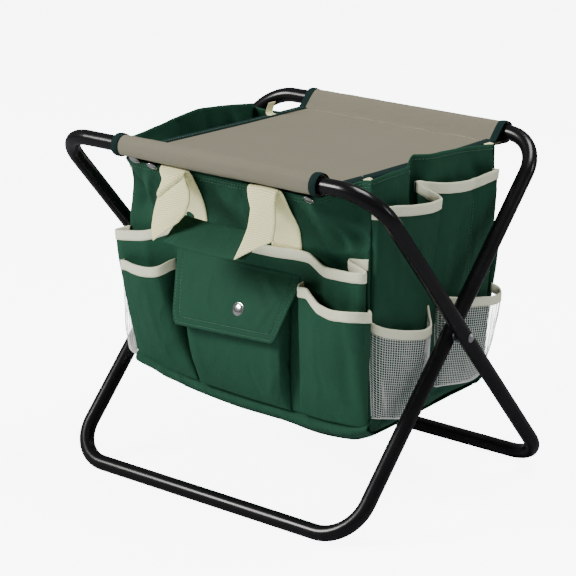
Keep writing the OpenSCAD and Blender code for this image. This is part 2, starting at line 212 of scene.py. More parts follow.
class Piece:
    """One sewn piece: sheets, closed forms and stitches gathered into one mesh.

    What is added is mirrored for a part on the back or the left. soft puts it through soften.
    """

    def __init__(self, part=FRONT, soft=False):
        self.points, self.uvs, self.faces, self.paints = [], [], [], []
        self.count = 0
        self.part = part
        self.soft = soft

    def add(self, points, uvs, faces, paint):
        """paint picks the material: 0 for cloth, 1 for thread."""
        points = np.asarray(points, float).reshape(-1, 3)
        self.points.append(soften(points) if self.soft else points)
        self.uvs.append(np.asarray(uvs, float).reshape(-1, 2))
        self.faces += [tuple(int(v) + self.count for v in f) for f in faces]
        self.paints += [paint] * len(faces)
        self.count += len(self.points[-1])
        return self

    def sheet(self, grid, thickness):
        """Cloth whose outer face is the grid, with a rounded rim."""
        grid = mirrored(grid, self.part)
        rows, columns = grid.shape[:2]
        n = normals(grid)
        inner = grid - n * thickness
        s = np.zeros((rows, columns))
        t = np.zeros((rows, columns))
        s[1:] = np.cumsum(np.linalg.norm(np.diff(grid, axis=0), axis=2), axis=0)
        t[:, 1:] = np.cumsum(np.linalg.norm(np.diff(grid, axis=1), axis=2), axis=1)
        uv = np.stack([s, t], -1)
        index = np.arange(rows * columns).reshape(rows, columns)
        size = rows * columns
        quads = quads_of(index)
        rim = np.r_[index[:, 0], index[-1, 1:], index[-2::-1, -1], index[0, -2:0:-1]]
        outward = np.zeros_like(grid)
        outward[0] += grid[0] - grid[1]
        outward[-1] += grid[-1] - grid[-2]
        outward[:, 0] += grid[:, 0] - grid[:, 1]
        outward[:, -1] += grid[:, -1] - grid[:, -2]
        outward /= np.maximum(np.linalg.norm(outward, axis=-1, keepdims=True), 1e-9)
        middle = ((grid + inner) / 2 + outward * thickness * 0.45).reshape(-1, 3)[rim]
        m = np.arange(len(rim)) + 2 * size
        m2, rim2 = np.roll(m, -1), np.roll(rim, -1)
        faces = [*quads, *(quads[:, ::-1] + size), *np.stack([rim, m, m2, rim2], -1),
                 *np.stack([m, rim + size, rim2 + size, m2], -1)]
        uvs = np.concatenate([uv.reshape(-1, 2), uv.reshape(-1, 2), uv.reshape(-1, 2)[rim]])
        points = np.concatenate([grid.reshape(-1, 3), inner.reshape(-1, 3), middle])
        return self.add(points, uvs * MM, faces, 0)

    def hose(self, rings):
        """Closed form through rings of points, closed at both ends."""
        rings = mirrored(np.asarray(rings, float), self.part)
        rows, columns = rings.shape[:2]
        index = np.arange(rows * columns).reshape(rows, columns)
        following = np.roll(index, -1, axis=1)
        faces = list(np.stack([index[:-1], index[1:], following[1:], following[:-1]], -1).reshape(-1, 4))
        faces += [tuple(index[0]), tuple(index[-1, ::-1])]
        s = np.r_[0, np.cumsum(np.linalg.norm(np.diff(rings.mean(1), axis=0), axis=1))]
        around = np.linalg.norm(np.diff(rings[0], axis=0, append=rings[0][:1]), axis=1)
        t = np.r_[0, np.cumsum(around)[:-1]]
        uv = np.stack(np.broadcast_arrays(s[:, None], t[None, :]), -1)
        return self.add(rings, uv * MM, faces, 0)

    def seam(self, line, up, lift=0.15, length=2.4, gap=1.2, width=0.55):
        """Stitches along one row or column of a grid, lifted a little off the cloth. up points away from it."""
        line, up = (mirrored(g, self.part).reshape(-1, 3) for g in (line + up * lift, up))
        reach = np.r_[0, np.cumsum(np.linalg.norm(np.diff(line, axis=0), axis=1))]
        starts = np.arange(gap, reach[-1] - length, length + gap)

        def pick(at, values):
            return np.stack([np.interp(at, reach, c) for c in values.T], -1)

        ends = [pick(starts + length * share, line) for share in (0, 0.22, 0.78, 1)]
        rise = pick(starts + length / 2, up)
        run = ends[3] - ends[0]
        run /= np.maximum(np.linalg.norm(run, axis=1, keepdims=True), 1e-9)
        side = np.cross(run, rise) * width / 2
        rise = rise * width * 0.8
        rings = [ring for c in ends[1:3] for ring in (c + side, c + rise, c - side, c - rise * 0.4)]
        points = np.stack([ends[0], *rings, ends[3]], 1)
        shape = []
        for k in range(4):
            j = (k + 1) % 4
            shape += [(0, 1 + j, 1 + k), (1 + k, 1 + j, 5 + j, 5 + k), (9, 5 + k, 5 + j)]
        faces = [tuple(v + 10 * i for v in f) for i in range(len(starts)) for f in shape]
        return self.add(points, np.zeros((len(starts) * 10, 2)), faces, 1)

    def build(self, name, *materials):
        mesh = bpy.data.meshes.new(name)
        points = np.concatenate(self.points) * MM
        mesh.from_pydata(points.tolist(), [], self.faces)
        uvs = np.concatenate(self.uvs)
        layer = mesh.uv_layers.new(name="weave")
        corners = np.zeros(len(mesh.loops), int)
        mesh.loops.foreach_get("vertex_index", corners)
        layer.data.foreach_set("uv", uvs[corners].astype(np.float32).ravel())
        for material in materials:
            mesh.materials.append(material)
        mesh.polygons.foreach_set("material_index", self.paints)
        mesh.polygons.foreach_set("use_smooth", [True] * len(mesh.polygons))
        mesh.update()
        obj = bpy.data.objects.new(name, mesh)
        bpy.context.scene.collection.objects.link(obj)
        return obj


# ---- Materials ----

class Nodes:
    """Short way to wire shader nodes."""

    def __init__(self, name):
        self.material = bpy.data.materials.new(name)
        self.material.use_nodes = True
        self.tree = self.material.node_tree
        self.shader = self.tree.nodes["Principled BSDF"]

    def link(self, value, socket):
        if isinstance(value, bpy.types.NodeSocket):
            self.tree.links.new(value, socket)
        else:
            socket.default_value = value

    def node(self, kind, output=0, settings=None, **inputs):
        node = self.tree.nodes.new("ShaderNode" + kind)
        for key, value in (settings or {}).items():
            setattr(node, key, value)
        for key, value in inputs.items():
            self.link(value, node.inputs[key.replace("_", " ")])
        return node.outputs[output]

    def math(self, operation, a, b=0.0):
        node = self.tree.nodes.new("ShaderNodeMath")
        node.operation = operation
        self.link(a, node.inputs[0])
        self.link(b, node.inputs[1])
        return node.outputs[0]

    def mix(self, share, a, b):
        node = self.tree.nodes.new("ShaderNodeMix")
        node.data_type = "RGBA"
        self.link(share, node.inputs[0])
        self.link(a, node.inputs[6])
        self.link(b, node.inputs[7])
        return node.outputs[2]

    def noise(self, scale, detail=3.0):
        spot = self.node("TexCoord", 3)
        return self.node("TexNoise", 0, Vector=spot, Scale=scale, Detail=detail)

    def uv(self):
        node = self.tree.nodes.new("ShaderNodeSeparateXYZ")
        self.link(self.node("UVMap", 0, {"uv_map": "weave"}), node.inputs[0])
        return node.outputs[0], node.outputs[1]

    def bump(self, height, strength, distance):
        return self.node("Bump", 0, Height=height, Strength=strength, Distance=distance)

    def finish(self, color, roughness, normal=None, **extra):
        self.link(color, self.shader.inputs["Base Color"])
        self.link(roughness, self.shader.inputs["Roughness"])
        if normal is not None:
            self.link(normal, self.shader.inputs["Normal"])
        for key, value in extra.items():
            self.link(value, self.shader.inputs[key.replace("_", " ")])
        return self.material


def rgb(r, g, b):
    return (r, g, b, 1.0)


def shade(color, by):
    return rgb(*(min(1.0, c * by) for c in color[:3]))


def plain_weave(n, pitch):
    """Height from 0 to 1 of a plain weave with threads pitch metres apart."""
    u, v = (n.math("MULTIPLY", place, math.pi / pitch) for place in n.uv())
    over = n.math("ABSOLUTE", n.math("MULTIPLY", n.math("SINE", u), n.math("SINE", v)))
    side = n.math("ABSOLUTE", n.math("COSINE", u))
    return n.math("ADD", n.math("MULTIPLY", over, 0.7), n.math("MULTIPLY", side, 0.3))


def woven(name, color, pitch, roughness, relief, uneven=0.14, sheen=0.1, crinkle=6.0):
    n = Nodes(name)
    weave = plain_weave(n, pitch)
    cloud = n.noise(22.0, 4.0)
    fibre = n.noise(900.0, 2.0)
    worn = n.mix(cloud, shade(color, 1 - uneven), shade(color, 1 + uneven))
    # Painted shade: the yarn colour goes darker where the weave lies low, as shade in the gaps between threads.
    yarn_with_painted_gap_shade = n.mix(n.math("MULTIPLY", weave, 0.75), shade(color, 0.62), worn)
    crumple = n.noise(95.0, 5.0)
    height = n.math("ADD", weave, n.math("MULTIPLY", fibre, 0.5))
    height = n.math("ADD", height, n.math("MULTIPLY", crumple, crinkle))
    normal = n.bump(height, 0.55, relief)
    rough = n.math("ADD", roughness, n.math("MULTIPLY", n.math("SUBTRACT", cloud, 0.5), 0.16))
    return n.finish(yarn_with_painted_gap_shade, rough, normal, Sheen_Weight=sheen, Sheen_Roughness=0.45,
                    Sheen_Tint=shade(color, 1.6), Specular_IOR_Level=0.12)


def ribbed(name, color, rib, pick):
    """Webbing: ribs along its length, each of short floats that step from rib to rib."""
    n = Nodes(name)
    u, v = n.uv()
    column = n.math("ABSOLUTE", n.math("SINE", n.math("MULTIPLY", v, math.pi / rib)))
    step = n.math("FLOOR", n.math("DIVIDE", v, rib))
    run = n.math("ADD", n.math("DIVIDE", u, pick), n.math("MULTIPLY", step, 0.5))
    dash = n.math("ABSOLUTE", n.math("SINE", n.math("MULTIPLY", run, math.pi)))
    pick_height = n.math("ADD", n.math("MULTIPLY", n.math("POWER", dash, 0.6), 0.45), 0.55)
    height = n.math("MULTIPLY", n.math("POWER", column, 0.6), pick_height)
    worn = n.mix(n.noise(35.0), shade(color, 0.9), shade(color, 1.06))
    # Painted shade: the colour goes darker where the ribs and floats lie low, as shade in the grooves between
    # them.
    yarn_with_painted_gap_shade = n.mix(height, shade(color, 0.5), worn)
    return n.finish(yarn_with_painted_gap_shade, 0.85, n.bump(height, 0.7, 0.0005), Sheen_Weight=0.1, Specular_IOR_Level=0.1)


def flecked(name, color, pitch):
    """Woven tape with a few threads of another shade."""
    n = Nodes(name)
    weave = plain_weave(n, pitch)
    speck = n.math("GREATER_THAN", n.noise(1100.0, 1.0), 0.62)
    rosy = n.mix(n.noise(260.0, 1.0), rgb(0.62, 0.47, 0.36), rgb(0.66, 0.60, 0.30))
    worn = n.mix(n.noise(40.0), shade(color, 0.9), shade(color, 1.05))
    base = n.mix(n.math("MULTIPLY", speck, 0.35), worn, rosy)
    # Painted shade: the colour goes darker where the weave lies low, as shade in the gaps between threads.
    yarn_with_painted_gap_shade = n.mix(weave, shade(color, 0.6), base)
    return n.finish(yarn_with_painted_gap_shade, 0.82, n.bump(weave, 0.5, 0.0003), Sheen_Weight=0.1, Specular_IOR_Level=0.1)


def thread(name, color):
    n = Nodes(name)
    return n.finish(n.mix(n.noise(600.0), shade(color, 0.8), shade(color, 1.1)), 0.6, Sheen_Weight=0.2)


def lacquer(name, color):
    """Gloss paint on tube: a little orange peel, a few rubbed spots."""
    n = Nodes(name)
    peel = n.noise(420.0, 2.0)
    rub = n.noise(38.0, 6.0)
    tint = n.mix(n.math("MULTIPLY", rub, 0.5), color, shade(color, 1.9))
    rough = n.math("ADD", 0.16, n.math("MULTIPLY", rub, 0.16))
    return n.finish(tint, rough, n.bump(peel, 0.05, 0.0004), Specular_IOR_Level=0.34)


def metal(name, color, roughness):
    n = Nodes(name)
    scratch = n.noise(700.0, 4.0)
    rough = n.math("ADD", roughness, n.math("MULTIPLY", scratch, 0.1))
    tint = n.mix(scratch, shade(color, 0.9), color)
    return n.finish(tint, rough, n.bump(scratch, 0.05, 0.0002), Metallic=1.0)


GREEN = rgb(0.0165, 0.0730, 0.0415)
TAUPE = rgb(0.205, 0.192, 0.142)
EDGE = rgb(0.0045, 0.021, 0.019)
CREAM = rgb(0.93, 0.90, 0.50)
TAPE = rgb(0.86, 0.87, 0.65)

canvas = woven("canvas_green", GREEN, 0.00075, 0.78, 0.0002)
seat_cloth = woven("seat_taupe", TAUPE, 0.0016, 0.72, 0.0003, 0.07, 0.15, 2.0)
edge_tape = woven("edge_tape_green", EDGE, 0.0009, 0.8, 0.00025, 0.1, 0.1, 2.0)
webbing = ribbed("webbing_cream", CREAM, 0.0022, 0.0034)
binding_tape = flecked("binding_tape", TAPE, 0.0009)
net = thread("net_white", rgb(0.95, 0.95, 0.90))
green_thread = thread("thread_green", rgb(0.04, 0.14, 0.08))
cream_thread = thread("thread_cream", rgb(0.72, 0.68, 0.54))
taupe_thread = thread("thread_taupe", rgb(0.36, 0.32, 0.25))
black_paint = lacquer("black_lacquer", rgb(0.0035, 0.0035, 0.004))
rivet_metal = metal("rivet_steel", rgb(0.62, 0.62, 0.64), 0.26)
chrome_metal = metal("snap_chrome", rgb(0.85, 0.85, 0.86), 0.10)


# ---- Placing pieces on bodies ----

def stand_in(obj, body, node):
    """obj is shown in place of a CAD node and rides on a body."""
    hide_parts(node)
    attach(obj, body)


def close_up(obj, node):
    """Side and bottom pieces ride on the front of the bag, each with its own copy of its mesh."""
    stand_in(obj, "bag_front", node)
    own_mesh(obj)


def bend(obj, node):
    """obj is shown in place of a CAD node, with its placement baked into its mesh."""
    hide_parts(node)
    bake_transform(obj)


# ---- Bag: its surfaces ----

BASE_Z = [(-162, 102), (-113, 91), (-69, 86), (0, 82), (40, 82), (91, 79), (131, 82), (162, 94)]


def base_z(x, y):
    """Height of the sagging underside."""
    share = ease(-95, 95, y)
    front = along(BASE_Z, x)
    back = front + 8.0 * ease(110, 158, x)
    sag = 3.0 * (1 - (x / 160) ** 2) * (1 - (y / 100) ** 2)
    return front * (1 - share) + back * share - sag


def end_out(x, z):
    """Distance of the front panel from the mid-plane."""
    corner = along([(70, 88), (90, 93), (110, 97), (140, 99.5), (180, 101.5), (230, 103.5), (271, 104.5),
                    (360, 104.5)], z)
    flared = along([(70, 88), (90, 93), (110, 97), (140, 100), (180, 103), (230, 105.5), (268, 107.5),
                    (285, 115.5), (310, 131), (337.5, 147.2), (360, 160)], z)
    share = ease(116, 150, np.abs(x))
    return flared * (1 - share) + corner * share


def side_x(y, z, side):
    """Distance of the side panel from the middle, with its inward pleat."""
    right = side["sign"] > 0
    depth = (13 if right else 5) * ease(140, 330, z)
    pleat = depth * np.exp(-((y - (-26 if right else 6)) / (11 if right else 26)) ** 2)
    belly = 0.6 * np.sin(np.pi * np.clip((y + 100) / 200, 0, 1))
    return SIDE_X - pleat + belly


def grid_of(rows, columns):
    """Two grids of shares from 0 to 1: how far along the rows, how far along the columns."""
    return np.meshgrid(np.linspace(0, 1, rows), np.linspace(0, 1, columns), indexing="ij")


PANEL_CREASES = [
    # along, up, to along, to up, width, height
    (116, 334, 138, 292, 6, 4.6), (138, 292, 150, 278, 5, 3.2), (122, 326, 156, 300, 5, 3.4),
    (100, 332, 104, 286, 8, -2.8), (126, 312, 136, 284, 4, -3.6), (122, 277, 158, 283, 5, 4.2),
    (140, 300, 158, 290, 5, -3.0), (112, 290, 126, 272, 6, 2.4), (104, 335, 86, 296, 6, 2.0),
    (-90, 332, -126, 286, 6, 4.0), (-108, 334, -146, 296, 6, 3.4), (-122, 322, -132, 272, 7, -4.6),
    (-96, 300, -104, 268, 8, 2.2), (-136, 322, -140, 262, 12, -8.0), (20, 334, 26, 290, 9, 2.2),
    (-4, 334, -14, 296, 9, -2.4), (34, 332, 14, 300, 7, -1.6)]


def panel_grid(seed, foot_y):
    """Outer face of the front or back panel, with the rolled hem along its foot."""
    u, v = grid_of(190, 130)
    x = -SIDE_X - 0.5 + (2 * SIDE_X + 1) * u
    top = (RIM_Z + (RIGHT_CORNER_Z - RIM_Z) * ease(118, 156, x)
           + (LEFT_CORNER_Z - RIM_Z) * ease(-118, -156, x))
    low = base_z(x, foot_y)
    z = low + (top - low) * v
    out = end_out(x, z)
    roll = np.clip((z - low) / 12, 0, 1)
    out = out - 6 * (1 - np.sqrt(1 - (1 - roll) ** 2))
    place = xyz(x, 0 * x, z)
    free = ease(255, 285, z) * (1 - 0.7 * ease(326, 337, z))
    out = out + 2.0 * rumple(place, seed) * (0.3 + 0.7 * free)
    out = out + free * creases(x, z, PANEL_CREASES)
    rise = z - low
    out = out + 6.2 * np.sin(np.pi * np.clip(rise / 18, 0, 1)) - 1.2 * np.exp(-((rise - 19) / 2.5) ** 2)
    pucker = 1 - 1.8 * np.abs(noise(xyz(x + 0.8 * rise, 0 * x, 0.3 * z), 11, seed + 8))
    out = out + (1.2 * noise(place, 14, seed + 7) + 1.3 * np.clip(pucker, 0, 1) ** 2) * ease(24, 10, rise)
    return xyz(x, -out, z)


def bag_end(end):
    """Front or back panel."""
    grid = panel_grid(end["seed"] + 1, -88 * end["sign"])
    n = normals(grid)
    row_step = 1.95
    piece = Piece(end, soft=True).sheet(grid, CLOTH)
    for offset in (2.5, 6.0):
        row = grid[:, -1:] + (grid[:, -2:-1] - grid[:, -1:]) * (offset / row_step)
        piece.seam(row, n[:, -1:], 0.2)
    obj = piece.build("sewn_%s_panel" % end["name"], canvas, green_thread)
    stand_in(obj, end["body"], "bag_%s_panel" % end["name"])


def side_top(y, side):
    """Height of the rim of a side panel."""
    right = [(-108, 353), (-70, 355), (-41, 355.5), (-31, 347), (-22, 362), (40, 359.5), (108, 352)]
    left = [(-108, 345), (-70, 348.5), (-35, 353.5), (-4, 359), (4, 360), (40, 357), (108, 350)]
    return along(right if side is RIGHT else left, y)


def bag_side(side):
    """Right or left panel."""
    u, v = grid_of(150, 110)
    y0 = -1 + 2 * u
    y = y0 * 93.0
    top = side_top(y0 * 104, side)
    low = base_z(side["sign"] * SIDE_X, y)
    z = low + (top - low) * v
    y = y0 * (end_out(SIDE_X, z) - 0.8)
    x = side_x(y, z, side)
    roll = np.clip((z - low) / 12, 0, 1)
    x = x - 6 * (1 - np.sqrt(1 - (1 - roll) ** 2))
    place = xyz(x, y, z)
    x = x + 1.3 * rumple(place, side["seed"] + 3) * (0.3 + 0.7 * ease(200, 330, z))
    x = x + creases(y, z, [(-60, 350, -92, 310, 8, 1.8), (60, 350, 84, 318, 8, -2.0),
                           (20, 352, 30, 316, 9, 1.4)])
    x = x + creases(y, z, [(8, 108, 66, 116, 3, 2.6), (20, 100, 84, 106, 3, -2.4), (-30, 98, 4, 112, 4, -3.0),
                           (-92, 110, -60, 98, 3, 2.4), (-84, 98, -72, 112, 3, -2.2)])
    grid = xyz(x, y, z)
    piece = Piece(side, soft=True).sheet(grid, CLOTH)
    piece.seam(grid[:, -1:] + (grid[:, -2:-1] - grid[:, -1:]) * 1.6, normals(grid)[:, -1:], 0.2)
    obj = piece.build("sewn_%s_panel" % side["name"], canvas, green_thread)
    close_up(obj, "bag_%s_panel" % side["name"])


def bag_base():
    u, v = grid_of(120, 90)
    x = (SIDE_X - 3.5) * (2 * u - 1)
    y = 88.0 * (1 - 2 * v)
    z = base_z(x, y) - 0.6
    place = xyz(x, y, z)
    edge = ease(0, 12, SIDE_X - np.abs(x)) * ease(0, 14, 90 - np.abs(y))
    z = z + (1.2 * rumple(place, 9) - 1.0) * edge
    piece = Piece(soft=True).sheet(xyz(x, y, z), CLOTH)
    close_up(piece.build("sewn_base", canvas), "bag_bottom")


# ---- Pockets ----
# A pocket's plan has one row for each point of its outline seen from above:
# place and out at the mouth, height of the mouth, place and out at the foot, height of the foot.

def pocket_grid(plan, spot, rows, columns, seed, full, soft, folds):
    """Outer face of a pocket, floor first. spot turns (place, out, height) into a point.

    full says how quickly the pocket widens above its foot: 1 is a plain wedge. soft is the height of its rumples.
    """
    line = trace(plan, np.linspace(0, 1, rows), axes=2)
    v = np.linspace(0, 1, columns)
    share = 1 - (1 - v) ** full
    a = line[:, 3, None] * (1 - share) + line[:, 0, None] * share
    out = line[:, 4, None] * (1 - share) + line[:, 1, None] * share
    z = line[:, 5, None] * (1 - v) + line[:, 2, None] * v
    turn = np.linspace(0, np.pi / 2, 6)[:-1]
    floor_out = 0.4 + (out[:, :1] - 0.4) * np.sin(turn)
    floor_z = z[:, :1] - np.minimum(5, 0.5 * out[:, :1]) * np.cos(turn)
    a = np.concatenate([np.repeat(a[:, :1], len(turn), 1), a], 1)
    out = np.concatenate([floor_out, out], 1)
    z = np.concatenate([floor_z, z], 1)
    rough = rumple(xyz(a, out, z), seed)
    out = out + soft * rough * ease(0.5, 6, out) + ease(0.5, 6, out) * creases(a, z, folds)
    return spot(a, np.maximum(out, 0.3), z)


def bind(grid, thickness, height):
    """Tape folded over the mouth of a pocket, as the grid of its outer face."""
    proud = 0.75
    n = normals(grid)
    top = grid[:, ::-1]
    top_n = n[:, ::-1]
    reach = np.concatenate([np.zeros((len(grid), 1)),
                            np.cumsum(np.linalg.norm(np.diff(top, axis=1), axis=2), axis=1)], 1)

    def below(distance, values):
        return np.array([[np.interp(distance, reach[i], values[i, :, k]) for k in range(3)]
                         for i in range(len(grid))])

    rows = []
    for d in (height, height - 0.5, 0.7 * height, 0.45 * height, 0.2 * height, 0.6):
        lift = 0.15 if d == height else proud
        rows.append(below(d, top) + below(d, top_n) * lift)
    up = grid[:, -1] - grid[:, -2]
    up /= np.maximum(np.linalg.norm(up, axis=-1, keepdims=True), 1e-9)
    edge, edge_n = grid[:, -1], n[:, -1]
    rows.append(edge + edge_n * proud * 0.6 + up * 0.7)
    rows.append(edge - edge_n * thickness * 0.5 + up * 1.1)
    rows.append(edge - edge_n * (thickness + proud * 0.6) + up * 0.7)
    for d in (0.6, 0.3 * height, 0.7 * height, height):
        lift = 0.15 if d == height else proud
        rows.append(below(d, top) - below(d, top_n) * (thickness + lift))
    return np.stack(rows, 1)


def add_binding(piece, grid, thickness, height=BINDING_H):
    tape = bind(grid, thickness, height)
    piece.sheet(tape, TAPE_CLOTH)
    row = tape[:, 2:3] * 0.25 + tape[:, 1:2] * 0.75
    piece.seam(row, normals(tape)[:, 2:3], 0.1, length=2.0, gap=1.1, width=0.4)


def divide(piece, grid, axis, at):
    """Upright seam through a pocket, where its mouth passes a place."""
    column = int(np.argmin(np.abs(grid[:, -1, axis] - at)))
    cut = np.s_[column:column + 1, 6:-9]
    piece.seam(grid[cut], normals(grid)[cut])


def end_spot(a, out, z):
    """Point in front of the front panel."""
    return xyz(a, -(end_out(a, z) + out), z)


def side_spot(a, out, z):
    """Point beside the right panel."""
    return xyz(SIDE_X + out, a, z)


STRIP = [
    # place, out, mouth, place, out, foot
    (-159.5, 0.8, 254, -158, 0.6, 115), (-166, 3, 252, -158, 1.5, 114), (-173, 8, 249.5, -156, 3, 113),
    (-169, 13, 250, -150, 3.5, 112), (-156, 15, 252, -142, 3.5, 110), (-130, 14.5, 256, -128, 3.5, 107),
    (-110, 11.5, 261, -108, 3.2, 105), (-93, 7, 267, -94, 3, 104), (-82, 4.3, 269, -82, 2.6, 103),
    (-40, 4.3, 269, -40, 2.6, 102), (0, 4.3, 268, 0, 2.6, 101), (40, 4.3, 268.5, 40, 2.6, 100),
    (80, 4.3, 271, 80, 2.6, 99), (92, 6, 271.4, 90, 3, 98.5), (103, 9, 268.2, 101, 3.2, 98.5),
    (112, 12.5, 265.4, 110, 3.5, 99), (123, 15.5, 263.8, 120, 3.5, 99.5), (145, 16.5, 263.5, 140, 3.5, 101),
    (158, 15.5, 264.6, 150, 3.5, 103), (164, 11, 265, 154, 3, 104), (161, 7.5, 266, 153, 2.6, 104),
    (150, 5.2, 268.5, 148, 2.2, 104), (140, 3.2, 271, 145, 1.8, 104), (138, 2.2, 272, 145, 1.4, 104),
    (144, 1.3, 273, 150, 1.0, 104), (159, 0.8, 275, 158, 0.6, 104)]


def pocket_strip(end):
    """The long strip that makes the two upper pockets."""
    grid = pocket_grid(STRIP, end_spot, 260, 70, end["seed"] + 5, 1.25, 1.2,
                       [(118, 256, 112, 200, 6, 1.6), (148, 250, 140, 190, 7, -1.6),
                        (-120, 246, -116, 190, 7, 1.5)])
    piece = Piece(end, soft=True).sheet(grid, POCKET_CLOTH)
    for x in (-82, 80.5):
        divide(piece, grid, 0, x)
    obj = piece.build("sewn_%s_upper_pockets" % end["name"], canvas, green_thread)
    stand_in(obj, end["body"], end["name"] + "_pocket_strip")
    tape = Piece(end, soft=True)
    add_binding(tape, grid, POCKET_CLOTH)
    obj = tape.build("binding_%s_upper" % end["name"], binding_tape, cream_thread)
    stand_in(obj, end["body"], end["name"] + "_upper_binding")


LOWER_RIGHT = [
    (84, 4.8, 240, 76, 3.8, 102), (84, 9, 239, 76.5, 4.8, 101), (88, 18, 238.5, 80, 5.5, 101),
    (95, 23, 240, 87, 6, 101), (104, 26, 241.5, 97, 6.2, 101), (113, 27.8, 236, 107, 6.4, 101),
    (123, 29.3, 230, 118, 6.6, 102), (139, 30.3, 227, 134, 6.6, 103), (156, 29.5, 228.5, 148, 6.4, 104),
    (165, 25.5, 229, 155, 6, 106), (170, 18, 228, 158, 5, 107), (169, 9, 226, 159, 4, 107),
    (163, 3.5, 226, 159.5, 2, 107)]
LOWER_LEFT = [
    (-160, 3, 220, -157, 2, 121), (-159, 10, 220, -157, 4, 121), (-156, 19, 221, -153, 5.5, 120),
    (-150, 26, 223, -147, 6.4, 119), (-141, 29, 224.5, -138, 6.8, 117), (-128, 29.5, 223.5, -124, 6.8, 114),
    (-112, 28.5, 223.5, -104, 6.6, 110), (-100, 28, 224.5, -88, 6.5, 108), (-91.5, 25.5, 226.5, -74, 6.3, 106),
    (-87, 19.5, 229, -65, 6, 105.5), (-85.5, 11, 231, -61, 5, 105), (-85, 4.8, 231.5, -60, 4, 105)]
MIDDLE = [
    (-60, 4.6, 229, -56.5, 4.4, 105), (-59.5, 5.6, 229, -56.5, 4.8, 105), (-58, 6.6, 229, -55.5, 5.4, 105),
    (-55, 7.2, 229, -52.5, 6, 104.5), (-36, 7.4, 229, -34, 6.6, 104), (0, 7.4, 229, 0, 6.8, 102.5),
    (38, 7.4, 229, 36, 6.6, 101.5), (64, 7.2, 229, 58, 6.2, 100.5), (68, 6.6, 229, 62, 5.4, 100),
    (69.5, 5.6, 229, 63, 4.8, 100), (70, 4.6, 229, 63, 4.4, 100)]


def lower_pockets(end):
    tape = Piece(end, soft=True)
    for name, plan, folds in (
            ("right", LOWER_RIGHT, [(112, 222, 104, 130, 7, 2.0), (150, 210, 146, 130, 9, -2.2),
                                    (124, 150, 150, 112, 8, 1.6)]),
            ("left", LOWER_LEFT, [(-112, 214, -106, 130, 8, 2.0), (-146, 206, -140, 130, 9, -2.0)])):
        if end is BACK:  # drawn narrower at the bag's corners
            plan = [(math.copysign(140 + (abs(r[0]) - 140) * 0.55, r[0]) if abs(r[0]) > 140 else r[0],
                     r[1] * (1 - 0.3 * float(ease(138, 160, abs(r[0])))), *r[2:]) for r in plan]
        grid = pocket_grid(plan, end_spot, 120, 74, end["seed"] + 11 + len(name), 1.45, 1.5, folds)
        node = "%s_lower_pocket_%s" % (end["name"], name)
        obj = Piece(end, soft=True).sheet(grid, POCKET_CLOTH).build("sewn_" + node, canvas)
        stand_in(obj, end["body"], node)
        add_binding(tape, grid, POCKET_CLOTH)
    obj = tape.build("binding_%s_lower" % end["name"], binding_tape, cream_thread)
    stand_in(obj, end["body"], end["name"] + "_lower_bindings")


def middle_spot(a, out, z):
    """The middle pocket's belly stands out between its foot and its mouth."""
    belly = 13.5 * np.sin(np.pi * np.clip((z - 97) / 133, 0, 1)) ** 0.85
    inside = ease(4.4, 6.8, out)
    return end_spot(a, out + belly * inside, z)


def middle_pocket(end):
    grid = pocket_grid(MIDDLE, middle_spot, 150, 84, end["seed"] + 21, 1.2, 0.7,
                       [(-50, 196, -44, 120, 5, 0.9), (58, 190, 50, 110, 6, 1.2), (20, 150, 34, 112, 6, -0.5),
                        (64, 150, 40, 108, 5, 0.9), (-36, 150, -10, 116, 5, 0.5)])
    piece = Piece(end, soft=True).sheet(grid, POCKET_CLOTH)
    cut = np.s_[20:-20, -4:-3]
    piece.seam(grid[cut], normals(grid)[cut], 0.2)
    obj = piece.build("sewn_%s_middle_pocket" % end["name"], canvas, green_thread)
    stand_in(obj, end["body"], "center_pocket" if end is FRONT else "back_center_pocket")


SIDE_UPPER = [
    # place along the side, out, mouth, place, out, foot
    (-103, 1.2, 325, -100, 1.0, 186), (-102.5, 7, 325.5, -99, 2.0, 186), (-96, 11.5, 326.5, -94, 2.6, 186),
    (-83, 12.4, 325.5, -82, 2.8, 186), (-45, 12.6, 319.5, -46, 2.8, 186), (-12, 12.2, 317.3, -22, 2.6, 186),
    (-2, 11.2, 317.8, -14, 2.2, 186), (0, 8, 319, -11, 1.8, 186), (-8, 3, 325, -12, 1.4, 186),
    (-22, -3.5, 333, -16, 1.2, 186), (-31, -6.5, 338, -18, 1.2, 186), (-27, -5.5, 338, -15, 1.4, 186),
    (-12, 0, 334.5, -9, 1.6, 186), (2, 6.5, 332, -2, 2.0, 186), (14, 10.5, 330.5, 12, 2.6, 186),
    (32, 12, 328.8, 32, 2.8, 186), (50, 10.5, 327, 52, 2.2, 186), (60, 7.0, 326, 61, 1.2, 186),
    (69, 10.5, 328, 70, 2.2, 186), (84, 12, 329.5, 84, 2.8, 186), (97, 11, 330, 95, 2.4, 186),
    (102, 6.5, 328.5, 99, 1.8, 186), (103, 1.2, 328, 100, 1.0, 186)]
NET_FRONT = [
    (-103, 1.5, 213, -96, 1.5, 115.5), (-102, 7, 211, -95.5, 4, 115), (-95, 12, 207, -90, 6, 114),
    (-78, 12.8, 201, -74, 7, 110), (-48, 12.8, 193, -50, 7, 103.5), (-22, 12.4, 188.5, -28, 6.6, 99),
    (-12, 10.5, 189, -19, 5.6, 98), (-7, 6.5, 194, -15, 3.8, 98), (-5.5, 1.8, 208, -14, 1.8, 98)]
NET_BACK = [
    (5.5, 1.8, 215, 11, 1.8, 119), (7, 6.5, 214, 12, 4.5, 119.5), (14, 10.5, 213, 17, 6, 119.5),
    (32, 12.4, 209, 30, 7, 118), (55, 12.8, 203.7, 52, 7.4, 114.5), (80, 13.2, 199, 72, 7.2, 112.5),
    (96, 14.2, 196.5, 84, 6.4, 113), (108, 14, 197, 91, 5, 115), (113, 9, 201, 95, 3.4, 116.5),
    (107, 2.2, 206, 97, 1.5, 118)]


